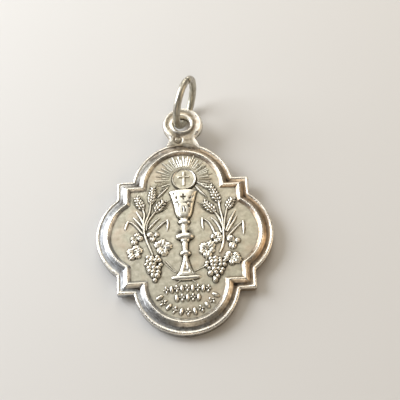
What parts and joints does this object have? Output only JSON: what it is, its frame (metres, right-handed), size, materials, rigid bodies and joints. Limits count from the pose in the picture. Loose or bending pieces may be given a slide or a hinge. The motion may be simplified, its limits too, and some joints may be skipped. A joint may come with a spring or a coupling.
{
  "type": "religious medal pendant",
  "caption": "Small struck silver medal with four round lobes, square corners between them, a chalice and rayed host in relief, and a wire jump ring through its eye.",
  "frame": {"origin": "middle of the medal's flat back, midway between the two side lobes and between the top and bottom lobes", "axes": "+Z out of the face, +Y up the face towards the hanging eye, +X to the right across the face; the medal lies on its back"},
  "size_m": [0.0184, 0.0295, 0.0061],
  "materials": {
    "struck_silver": "satin",
    "silver_wire": "satin"
  },
  "bodies": {
    "medal_body": {"medal": "struck_silver"},
    "ring_body": {"jump_ring": "silver_wire"}
  },
  "joints": [
    {"name": "ring_swing", "type": "hinge", "parent": "medal_body", "child": "ring_body", "pos_m": [0.00035, 0.01487, 0.00072], "axis": [0.9323, -0.3579, 0.0523], "range_deg": [-110, 6]}
  ]
}
